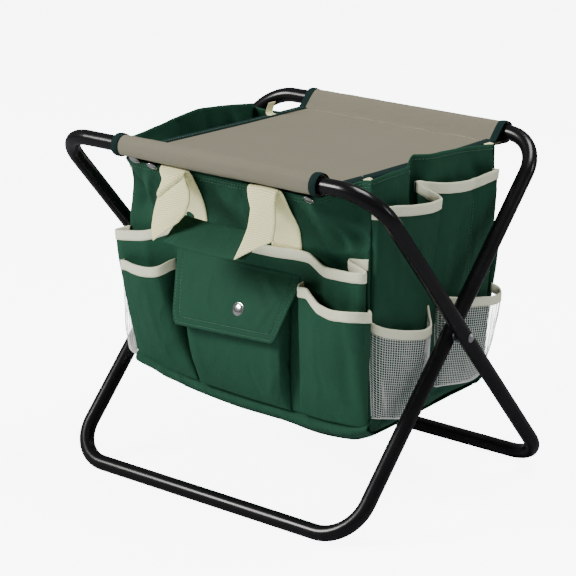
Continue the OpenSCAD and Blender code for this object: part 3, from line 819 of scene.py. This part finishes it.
def side_pockets(side):
    grid = pocket_grid(SIDE_UPPER, side_spot, 230, 64, side["seed"] + 7, 1.1, 1.5,
                       [(-50, 300, -40, 220, 9, -1.6), (44, 296, 26, 210, 6, -2.4), (84, 300, 74, 224, 7, -1.8),
                        (-84, 300, -90, 220, 8, 0.8), (60, 262, 36, 206, 4, 2.0), (18, 290, 12, 214, 5, 1.6),
                        (-70, 284, -60, 232, 5, 1.4), (96, 250, 80, 214, 4, 1.6), (-26, 300, -32, 240, 6, 1.2)])
    clear_of_legs = 172.5
    grid[..., 0] = np.minimum(grid[..., 0], clear_of_legs)
    piece = Piece(side, soft=True).sheet(grid, POCKET_CLOTH)
    divide(piece, grid, 1, 60)
    obj = piece.build("sewn_%s_upper_pockets" % side["name"], canvas, green_thread)
    close_up(obj, side["name"] + "_upper_pockets")
    tape = Piece(side, soft=True)
    add_binding(tape, grid, POCKET_CLOTH)
    obj = tape.build("binding_%s_upper" % side["name"], binding_tape, cream_thread)
    close_up(obj, side["name"] + "_upper_binding")
    tape = Piece(side, soft=True)
    for name, plan in (("front", NET_FRONT), ("back", NET_BACK)):
        if side is LEFT:
            fuller = [float(ease(-40, -80, r[0])) for r in plan]
            plan = [(r[0], r[1] * (1 + 0.7 * f), r[2], r[3], r[4] * (1 + 2.6 * f), r[5])
                    for r, f in zip(plan, fuller)]
        fine = pocket_grid(plan, side_spot, 70, 50, side["seed"] + 13 + len(name), 1.5, 1.2,
                           [(-96, 150, -84, 114, 5, 2.2)])
        add_binding(tape, fine, 0.8, 9.0)
        net_grid = soften(mirrored(even_grid(fine, 3.5, 2.5), side))
        obj = netting("net_%s_%s" % (side["name"], name), net_grid)
        close_up(obj, "%s_mesh_pocket_%s" % (side["name"], name))
    obj = tape.build("binding_%s_nets" % side["name"], binding_tape, cream_thread)
    close_up(obj, side["name"] + "_mesh_bindings")


def even_grid(grid, wide, high):
    """The same surface with its rows and columns about so far apart."""
    lengths = [np.linalg.norm(np.diff(grid, axis=k), axis=2).sum(k).mean() for k in (0, 1)]
    counts = [max(4, int(round(length / pitch)) + 1) for length, pitch in zip(lengths, (wide, high))]
    first = np.stack([trace(grid[:, j], np.linspace(0, 1, counts[0])) for j in range(grid.shape[1])], 1)
    return np.stack([trace(row, np.linspace(0, 1, counts[1])) for row in first], 0)


def netting(name, grid):
    """Net with real square holes."""
    rows, columns = grid.shape[:2]
    index = np.arange(rows * columns).reshape(rows, columns)
    mesh = bpy.data.meshes.new(name)
    mesh.from_pydata((grid.reshape(-1, 3) * MM).tolist(), [], quads_of(index).tolist())
    obj = bpy.data.objects.new(name, mesh)
    bpy.context.scene.collection.objects.link(obj)
    wire = obj.modifiers.new("net", "WIREFRAME")
    wire.thickness = NET_WIRE * MM
    wire.offset = 0
    wire.use_even_offset = False
    depsgraph = bpy.context.evaluated_depsgraph_get()
    woven_mesh = bpy.data.meshes.new_from_object(obj.evaluated_get(depsgraph))
    obj.modifiers.clear()
    obj.data = woven_mesh
    woven_mesh.materials.clear()
    woven_mesh.materials.append(net)
    woven_mesh.polygons.foreach_set("use_smooth", [True] * len(woven_mesh.polygons))
    return obj


# ---- Flap ----

FLAP_SHAPE = [
    # share of the way down, to the left, to the right
    (-0.08, 79, 80), (0.14, 76.5, 80.5), (0.25, 75, 79.5), (0.85, 65, 70), (0.96, 62, 67.5), (1.0, 59, 64.5)]
FLAP_CREASES = [
    # across, down, to across, to down, width, height
    (34, 10, 56, 36, 5, -1.3), (44, 8, 66, 26, 4, 1.0), (-52, 54, -22, 62, 5, 0.9), (44, 56, 60, 26, 4, 1.1),
    (18, 44, 40, 60, 6, 0.8), (-40, 12, -52, 44, 7, -0.7), (8, 40, -18, 26, 6, 0.6)]
FLAP_TILT = math.radians(20.9)
FLAP_OUT = 112.0


def flap_length(x):
    return 69.5 - 0.022 * x


def flap_width(share, right):
    return np.interp(share, [row[0] for row in FLAP_SHAPE], [row[2 if right else 1] for row in FLAP_SHAPE])


def flap_point(x, share):
    """Point on the outside of the flap at a distance along its seam and a share of the way down."""
    down = share * flap_length(x)
    dome = 2.0 * np.sin(np.pi * np.clip(share, 0, 1)) * (1 - (x / 90) ** 2)
    edge = np.minimum(np.minimum(flap_width(share, True) - x, flap_width(share, False) + x),
                      flap_length(x) - down)
    groove = -0.7 * np.exp(-((edge - 8) / 1.2) ** 2) - 0.4 * np.exp(-((edge - 2.2) / 0.9) ** 2)
    out = dome + groove + 1.1 * rumple(xyz(x, 0 * x, down), 31) * ease(0, 20, down)
    out = out + creases(x, down, FLAP_CREASES)
    out = out - 2.2 * np.exp(-((x - 16) ** 2 + (down - 42.5) ** 2) / 90)
    top = np.minimum(down, 0)
    y = -FLAP_OUT - np.sin(FLAP_TILT) * np.maximum(down, 0) - out * np.cos(FLAP_TILT) + 0.1 * top ** 2
    z = 241.4 + 0.022 * x - np.cos(FLAP_TILT) * down + out * np.sin(FLAP_TILT) * 0.5
    return xyz(x, y, z)


def flap():
    u, v = grid_of(130, 84)
    share = 1.0 - 1.08 * v
    grid = flap_point(flap_width(share, True) * u - flap_width(share, False) * (1 - u), share)
    piece = Piece().sheet(grid, FLAP_CLOTH)
    left = [(-row[1], max(row[0], 0.05)) for row in FLAP_SHAPE]
    corners = np.array(left + [(row[2], max(row[0], 0.05)) for row in FLAP_SHAPE[::-1]])
    for inset in (2.2, 8.0):
        line = corners * np.array([(78 - inset) / 78, 1 - inset / 70])
        line = np.concatenate([a + (b - a) * np.linspace(0, 1, 24)[:, None] for a, b in zip(line, line[1:])])
        x, share = line.T
        on = flap_point(x, share)
        up = np.cross(flap_point(x + 0.5, share) - on, on - flap_point(x, share + 0.01))
        up /= np.linalg.norm(up, axis=1, keepdims=True)
        piece.seam(on, up, 0.1)
    bend(piece.build("sewn_flap", canvas, green_thread), "pocket_flap")


# ---- Snaps ----

CAP = [(0.0, 2.2), (1.6, 2.16), (3.2, 1.95), (4.4, 1.6), (5.1, 1.15), (5.4, 0.95), (5.8, 1.0), (6.1, 0.75),
       (6.2, 0.35), (5.9, -0.1)]


def lathe(profile, at, up):
    """Round form along up at a point, from (radius, height) pairs."""
    up = np.array(up, float) / np.linalg.norm(up)
    side = np.cross(up, (1, 0, 0) if abs(up[0]) < 0.9 else (0, 1, 0))
    side /= np.linalg.norm(side)
    other = np.cross(up, side)
    angle = np.linspace(0, 2 * np.pi, 48, endpoint=False)
    circle = np.cos(angle)[:, None] * side + np.sin(angle)[:, None] * other
    rings = [np.array(at) + circle * max(r, 0.02) + up * h for r, h in profile]
    return np.array(rings)[::-1]


def end_snaps(end):
    piece = Piece()
    for x, down in ((-102, -3.0), (-80, 1.0), (118, 2.5)):
        z = RIM_Z - down * 0.85
        y = -(float(end_out(np.array(x), np.array(z))) + 1.6)
        slope = (0, -0.68 * end["sign"], -0.733)
        piece.hose(lathe(CAP, (x, y * end["sign"], z), slope))
    stand_in(piece.build("snaps_%s" % end["name"], chrome_metal), end["body"], end["name"] + "_snaps")


def flap_snap():
    x, y, z = flap_point(np.array(16.0), np.array(0.61))
    face = (0, -math.cos(FLAP_TILT), math.sin(FLAP_TILT))
    piece = Piece().hose(lathe([(1.14 * r, h) for r, h in CAP], (x, y, z), face))
    socket = [(2.0, 2.0), (4.6, 2.0), (5.2, 1.4), (5.2, 0.0)]
    back = (0, -face[1], -face[2])
    piece.hose(lathe(socket, (x, y + back[1] * FLAP_CLOTH, z + back[2] * FLAP_CLOTH), back))
    stand_in(piece.build("snap_flap_cap", chrome_metal), "pocket_flap", "flap_snap_cap")
    low, high = (np.array(p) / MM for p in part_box("flap_snap_stud"))
    center = (low + high) / 2
    stud = [(0.0, 2.6), (1.7, 2.5), (2.0, 1.9), (1.6, 1.2), (2.2, 0.8), (5.0, 0.7), (5.2, 0.2), (5.0, -0.4)]
    piece = Piece().hose(lathe(stud, (center[0], high[1] - 1.2, center[2]), face))
    stand_in(piece.build("snap_stud", chrome_metal), "bag_front", "flap_snap_stud")


# ---- Handles ----
# Rows of a strap: left edge and right edge, as seen from the front.

RIGHT_STRAP = [
    ((43, -108.6, 261), (80, -108.6, 261)), ((43.5, -109.6, 270), (80.5, -109.6, 270)),
    ((46, -115.4, 281), (84, -115.4, 281)), ((50, -127.6, 300), (90, -128, 300)),
    ((52.5, -143.5, 322), (92, -144.5, 321)), ((53, -152.5, 336.5), (91, -153, 336)),
    ((53, -155.5, 340.3), (89, -155.8, 340.3)), ((53.2, -158.2, 338.5), (88, -158.4, 338.5)),
    ((56, -160.2, 329), (88, -160, 330)), ((60.5, -162.5, 318), (89.3, -161.4, 321)),
    ((60.5, -166, 304.5), (90.8, -163, 311.5)), ((60, -172.5, 291), (92.5, -166, 304)),
    ((57.5, -182.5, 273), (94.5, -170.5, 295.5))]
LEFT_STRAP = [
    ((-79, -108.6, 261), (-42, -108.6, 261)), ((-78.5, -109.6, 270), (-41.5, -109.6, 270)),
    ((-74, -115.8, 282), (-36.5, -115.8, 282)), ((-68, -128.4, 301), (-29, -128.4, 301)),
    ((-63, -143.5, 321), (-24, -143.5, 321)), ((-60.5, -152.5, 336.5), (-25, -152.5, 336.5)),
    ((-60, -155.5, 341), (-27, -155.5, 341)), ((-59, -158.5, 338.5), (-28, -158, 338.5)),
    ((-51.5, -160.8, 330), (-24, -159.6, 330)), ((-55.5, -165, 314), (-18.5, -161.6, 322)),
    ((-57, -169, 301), (-16.5, -164.4, 312)), ((-54.5, -175, 287), (-17, -168, 303.5)),
    ((-47, -182.5, 273), (-23, -172.5, 293.5))]


def strap_grid(rows, length, folds, lap):
    """Outer face of a strap. lap is a line across the part that hangs: below it the strap lies doubled."""
    edges = trace([(*left, *right) for left, right in rows], np.linspace(0, 1, length), axes=6)
    share = np.linspace(0, 1, 15)[:, None, None]
    grid = edges[None, :, :3] * (1 - share) + edges[None, :, 3:] * share
    lift = creases(grid[..., 0], grid[..., 2], folds)
    curl = -0.9 * np.sin(np.pi * share[..., 0])
    hanging = np.linspace(0, 1, length)[None] > 0.52
    grid = grid + normals(grid) * (np.where(hanging, lift, 0) + curl)[..., None]
    if lap is not None:
        (x0, z0), (x1, z1) = lap
        below = (grid[..., 0] - x0) * (z1 - z0) - (grid[..., 2] - z0) * (x1 - x0)
        below = below / math.hypot(x1 - x0, z1 - z0)
        step = 3.6 * ease(0.7, -0.7, below) * ease(-30, -6, below) * ease(341, 335, grid[..., 2])
        grid[..., 1] -= np.where(hanging, step, 0)
    return grid


def handle(end):
    """Both straps, in two pieces that meet at the fold: the base sewn to the bag and the part that hangs."""
    sewn, free = Piece(end), Piece(end)
    for rows, folds, lap in ((RIGHT_STRAP, [(62, 300, 88, 312, 9, 1.4)], None),
                             (LEFT_STRAP, [(-50, 284, -20, 306, 6, -2.2)], ((-60, 310), (-28, 338)))):
        grid = strap_grid(rows, 120, folds, lap)
        crown = int(np.argmax(grid[7, :, 2]))
        sewn.sheet(grid[:, :crown + 2], STRAP_CLOTH)
        free.sheet(grid[:, crown:], STRAP_CLOTH)
        n = normals(grid)
        for cut in (np.s_[1:2, 1:14], np.s_[13:14, 1:14], np.s_[:, 10:11]):
            sewn.seam(grid[cut], n[cut])
    obj = sewn.build("strap_base_%s" % end["name"], webbing, cream_thread)
    stand_in(obj, end["body"], end["name"] + "_handle_bases")
    bend(free.build("strap_%s" % end["name"], webbing), end["name"] + "_handle_straps")
    grip(end)


def grip(end):
    """Canvas sewn round the middle of the webbing: a bulging slab that sags between the straps."""
    tilt = math.radians(37.4)
    wide = np.array([0, -math.cos(tilt), -math.sin(tilt)])
    thick = np.array([0, -math.sin(tilt), math.cos(tilt)])
    x0, x1, half, height, bulge, sag = -37, 66, 18.4, 2.0, 0.5, 2.5
    angle = np.linspace(0, 2 * np.pi, 44, endpoint=False)
    c, s = np.cos(angle), np.sin(angle)
    rings = []
    for share in np.linspace(0, 1, 80):
        rounding = min(1.0, 0.62 + 8 * min(share, 1 - share))
        a = half * np.sign(c) * np.abs(c) ** 0.45
        b = height * np.sign(s) * np.abs(s) ** 0.7 * rounding * (1 + bulge * (1 - (a / half) ** 2))
        center = np.array([x0 + (x1 - x0) * share, -164.5, 283.5 - sag * math.sin(math.pi * share)])
        ring = center + a[:, None] * wide + b[:, None] * thick
        rings.append(ring + (0.9 * rumple(ring, 57 + end["seed"]))[:, None] * thick)
    obj = Piece(end).hose(rings).build("sewn_%s_grip" % end["name"], canvas)
    stand_in(obj, end["name"] + "_handle", end["name"] + "_handle_grip")


def tabs(end):
    """Dark tabs under the sleeve that the snaps go through."""
    piece = Piece(end)
    for x0, x1 in ((-114, -74), (97, 122)):
        x, z = np.meshgrid(np.linspace(x0, x1, 16), np.linspace(321, 343.5, 16), indexing="ij")
        out = np.minimum(end_out(x, np.minimum(z, RIM_Z)) - 5.2, 143.5) + 2 * ease(338, 343.5, z)
        piece.sheet(xyz(x, -out, z), 1.0)
    obj = piece.build("tabs_%s" % end["name"], edge_tape)
    if end is FRONT:
        bend(obj, "front_hanging_tabs")
    else:
        stand_in(obj, "bag_back", "back_hanging_tabs")


# ---- Seat ----

def sleeve_loop(grow=0.0):
    """Cross-section of a sleeve round its bar: (inward, up) from the bar's middle, tip to tip."""
    r = SLEEVE_R + grow
    angle = np.radians(np.linspace(46, 284, 60))
    arc = [(math.cos(a) * r, math.sin(a) * r) for a in angle]
    top = [(21.6, -7.5 + grow), (18.5, -4.6 + grow), (13.2, 1.6 + grow)]
    low = [(8.5, -10.0 - grow), (15.0, -9.8 - grow), (21.6, -9.3 - grow)]
    return np.array(top + arc + low)


def sleeve_grid(x0, x1, rows, grow, wave, seed):
    loop = trace(sleeve_loop(grow), np.linspace(0, 1, 100), axes=2)
    x = np.linspace(x0, x1, rows)
    grid = np.zeros((rows, len(loop), 3))
    grid[..., 0] = x[:, None]
    grid[..., 1] = -BAR_Y + loop[:, 0]
    grid[..., 2] = BAR_Z + loop[:, 1]
    away = np.stack([0 * grid[..., 0], grid[..., 1] + BAR_Y, grid[..., 2] - BAR_Z], -1)
    away /= np.linalg.norm(away, axis=-1, keepdims=True)
    stretched = grid * np.array([0.35, 1, 1])
    field = 0.6 * noise(stretched, 9, seed) + 0.4 * noise(stretched, 5, seed + 1)
    puff = np.abs(noise(grid * np.array([1, 0.2, 0.2]), 11, seed + 2)) * ease(5, 20, grid[..., 1] + BAR_Y)
    return grid + away * (wave * (field + 0.35) * 0.8 + 1.3 * wave * puff)[..., None]


def seat_sleeve(end):
    body = "outer_frame" if end is FRONT else "inner_frame"
    grid = sleeve_grid(SEAT_X0 + 1, SEAT_X1 - 1, 170, 0.0, 0.8, end["seed"] + 61)[:, ::-1]
    piece = Piece(end).sheet(grid, SLEEVE_CLOTH)
    cut = np.s_[4:-4, -3:-2]
    piece.seam(grid[cut], normals(grid)[cut], 0.1)
    obj = piece.build("sleeve_%s" % end["name"], seat_cloth, taupe_thread)
    stand_in(obj, body, end["name"] + "_sleeve")
    rings = Piece(end)
    for x0, x1 in ((SEAT_X0 - 0.5, SEAT_X0 + 7.5), (SEAT_X1 - 7.5, SEAT_X1 + 0.5)):
        ring = sleeve_grid(x0, x1, 14, 1.0, 0.25, end["seed"] + 66)[:, ::-1]
        bow = np.sin(np.linspace(0, np.pi, 14))[:, None, None] * 0.5
        rings.sheet(ring + normals(ring) * bow, 1.0)
    obj = rings.build("sleeve_rings_%s" % end["name"], edge_tape)
    stand_in(obj, body, end["name"] + "_sleeve_bindings")


def seat_z(x, y):
    """Height of the sling: taut, with a slight hollow and soft ripples off its seams."""
    hollow = 2.0 * np.cos(np.clip(y / SEAM_Y, -1, 1) * np.pi / 2) * (1 - ((x - 11) / 150) ** 2)
    ripple = 0.5 * np.exp(-(SEAM_Y - np.abs(y)) / 18) * np.sin(x / 6.5 + 1.7 * np.sin(x / 23))
    return SEAT_Z + 0.9 - hollow + ripple + 0.35 * noise(xyz(x, y, 0 * x), 46, 71)


# Tape folded round the sling's edge: distance in from the edge, height above the sling
EDGE_SECTION = [(10.5, 0.15), (10.2, 0.75), (7, 0.8), (3.5, 0.85), (1, 0.9), (-0.4, 0.1), (-0.6, -0.8),
                (-0.2, -1.8), (1, -2.3), (5, -2.2), (10.2, -2.1)]


def across_seat(obj, node):
    """Pieces of the sling between the two loops, shown in place of a CAD node."""
    bend(obj, node)


def seat():
    """The sling, the dark tape along its two sides and the cream tapes on that."""
    u, v = grid_of(150, 170)
    x = SEAT_X0 + 1 + (SEAT_X1 - SEAT_X0 - 2) * u
    y = -SEAM_Y - 0.6 + (2 * SEAM_Y + 1.2) * v
    grid = np.stack([x, y, seat_z(x, y)], -1)
    piece = Piece().sheet(grid, SLING_CLOTH)
    n = normals(grid)
    for row in (3, -4):
        cut = np.s_[6:-6, row:row + 1]
        piece.seam(grid[cut], n[cut], 0.1)
    obj = piece.build("sling", seat_cloth, taupe_thread)
    across_seat(obj, "seat_panel")
    edges = Piece()
    for x_edge, inward in ((SEAT_X0, 1), (SEAT_X1, -1)):
        across = np.array(EDGE_SECTION if inward > 0 else EDGE_SECTION[::-1])
        t = np.linspace(-SEAM_Y + 0.5, SEAM_Y - 0.5, 170)
        edge_x = x_edge + inward * across[:, 0][:, None] + 0 * t[None]
        edge_y = t[None] + 0 * edge_x
        z = seat_z(x_edge + inward * 2 + 0 * edge_x, edge_y) + across[:, 1][:, None]
        grid = xyz(edge_x, edge_y, z)
        if inward > 0:
            grid = grid[::-1]
        edges.sheet(grid, TAPE_CLOTH)
        row = np.argmin(np.abs(grid[:, 0, 0] - (x_edge + inward * 8.6)))
        edges.seam(grid[row], np.broadcast_to((0, 0, 1), (len(t), 3)), 0.12)
    across_seat(edges.build("sling_edges", edge_tape, green_thread), "seat_edge_bindings")
    ends = Piece()
    for x_edge, outward, y, lift in ((SEAT_X1, 1, -86, 0.0), (SEAT_X1, 1, 120, 0.1), (SEAT_X0, -1, -23, -1.0),
                                     (SEAT_X0, -1, 79, 1.0)):
        ends.sheet(tape_end(x_edge, outward, y, lift), 0.9)
    across_seat(ends.build("sling_tapes", webbing), "seat_edge_tapes")


def tape_end(x_edge, outward, y, lift):
    """Short cream tape: sewn flat on the edge, its free end lying or standing up."""
    flat = [(-9, 1.9), (-4, 1.9), (0, 1.9), (3, 1.2), (5.5, 0.2)]
    standing = [(-7, 1.9), (-3.5, 2.2), (-1.5, 4.5), (-1.8, 9), (-2.6, 14)]
    under = [(-7, -3.4), (-3, -3.4), (0, -3.6), (3, -4.4), (5, -6.5)]
    rows = np.array(flat) * (1 - abs(lift)) + np.array(standing if lift > 0 else under) * abs(lift)
    line = trace(rows, np.linspace(0, 1, 16), axes=2)
    across = np.linspace(-5.5, 5.5, 9)
    grid = np.zeros((len(line), len(across), 3))
    grid[..., 0] = x_edge + outward * line[:, None, 0]
    grid[..., 1] = y + across[None] + 0.12 * line[:, None, 1] * lift * 3
    grid[..., 2] = SEAT_Z + line[:, None, 1]
    return grid if outward > 0 else grid[:, ::-1]


# ---- CAD pieces that are kept ----

def paint_frame():
    for node, material in (("outer_loop", black_paint), ("inner_loop", black_paint),
                           ("pivot_rivets", rivet_metal), ("pivot_spacers", rivet_metal)):
        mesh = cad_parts[node].data
        mesh.materials.clear()
        mesh.materials.append(material)


# ---- Studio ----

def area_light(name, at, target, size, power, color=(1, 1, 1)):
    light = bpy.data.lights.new(name, "AREA")
    light.shape = "RECTANGLE"
    light.size, light.size_y = size
    light.energy = power
    light.color = color
    obj = bpy.data.objects.new(name, light)
    obj.location = at
    away = np.array(at, float) - np.array(target, float)
    obj.rotation_euler = [math.atan2(math.hypot(away[0], away[1]), away[2]), 0,
                          math.atan2(away[1], away[0]) + math.pi / 2]
    bpy.context.scene.collection.objects.link(obj)


def studio():
    floor_mesh = bpy.data.meshes.new("floor")
    floor_mesh.from_pydata([(-9, -9, 0), (9, -9, 0), (9, 9, 0), (-9, 9, 0)], [], [(0, 1, 2, 3)])
    floor = bpy.data.objects.new("floor", floor_mesh)
    # The floor is bright to the camera and dark in reflections, so that the black tubes stay black.
    n = Nodes("floor")
    seen = n.node("LightPath", "Is Camera Ray")
    reflected = n.node("LightPath", "Is Glossy Ray")
    fill = n.math("MULTIPLY", n.math("SUBTRACT", 1.0, reflected), 0.25)
    glow = n.math("ADD", n.math("MULTIPLY", seen, 7.2), fill)
    tone = n.mix(reflected, rgb(0.86, 0.88, 0.9), rgb(0.16, 0.16, 0.17))
    floor_mesh.materials.append(n.finish(tone, 0.8, Specular_IOR_Level=0.1,
                                         Emission_Color=rgb(0.95, 0.975, 1.0), Emission_Strength=glow))
    bpy.context.scene.collection.objects.link(floor)
    world = bpy.data.worlds.new("studio")
    world.use_nodes = True
    tree = world.node_tree
    sky = tree.nodes["Background"]
    path = tree.nodes.new("ShaderNodeLightPath")
    ramp = tree.nodes.new("ShaderNodeMapRange")
    for key, value in (("To Min", 0.13), ("To Max", 11.0)):
        ramp.inputs[key].default_value = value
    tree.links.new(path.outputs["Is Camera Ray"], ramp.inputs["Value"])
    tree.links.new(ramp.outputs["Result"], sky.inputs["Strength"])
    sky.inputs["Color"].default_value = rgb(0.97, 0.985, 1.0)
    bpy.context.scene.world = world
    target = (0, 0, 0.2)
    area_light("key", (-1.5, -2.1, 1.75), target, (1.1, 0.9), 125, (1.0, 0.985, 0.96))
    area_light("side", (2.4, 1.4, 1.2), target, (0.3, 1.0), 9)
    area_light("top", (0.5, 0.4, 2.3), target, (1.2, 0.9), 50)


def camera():
    """The camera that was fitted to the photo: its axes, its place and its lens."""
    right = (0.7787, 0.6272, 0.0145)
    up = (-0.1896, 0.2132, 0.9584)
    back = (0.5981, -0.7491, 0.2849)
    data = bpy.data.cameras.new("photo")
    data.sensor_width = 36.0
    data.lens = 136.64
    obj = bpy.data.objects.new("photo", data)
    place = (1.3518, -1.7216, 0.8431)
    obj.matrix_world = Matrix([(right[k], up[k], back[k], place[k]) for k in range(3)] + [(0, 0, 0, 1)])
    bpy.context.scene.collection.objects.link(obj)
    bpy.context.scene.camera = obj


paint_frame()
for end in (FRONT, BACK):
    bag_end(end)
    pocket_strip(end)
    lower_pockets(end)
    middle_pocket(end)
    end_snaps(end)
    handle(end)
    tabs(end)
    seat_sleeve(end)
for side in (RIGHT, LEFT):
    bag_side(side)
    side_pockets(side)
bag_base()
flap()
flap_snap()
seat()
studio()
camera()
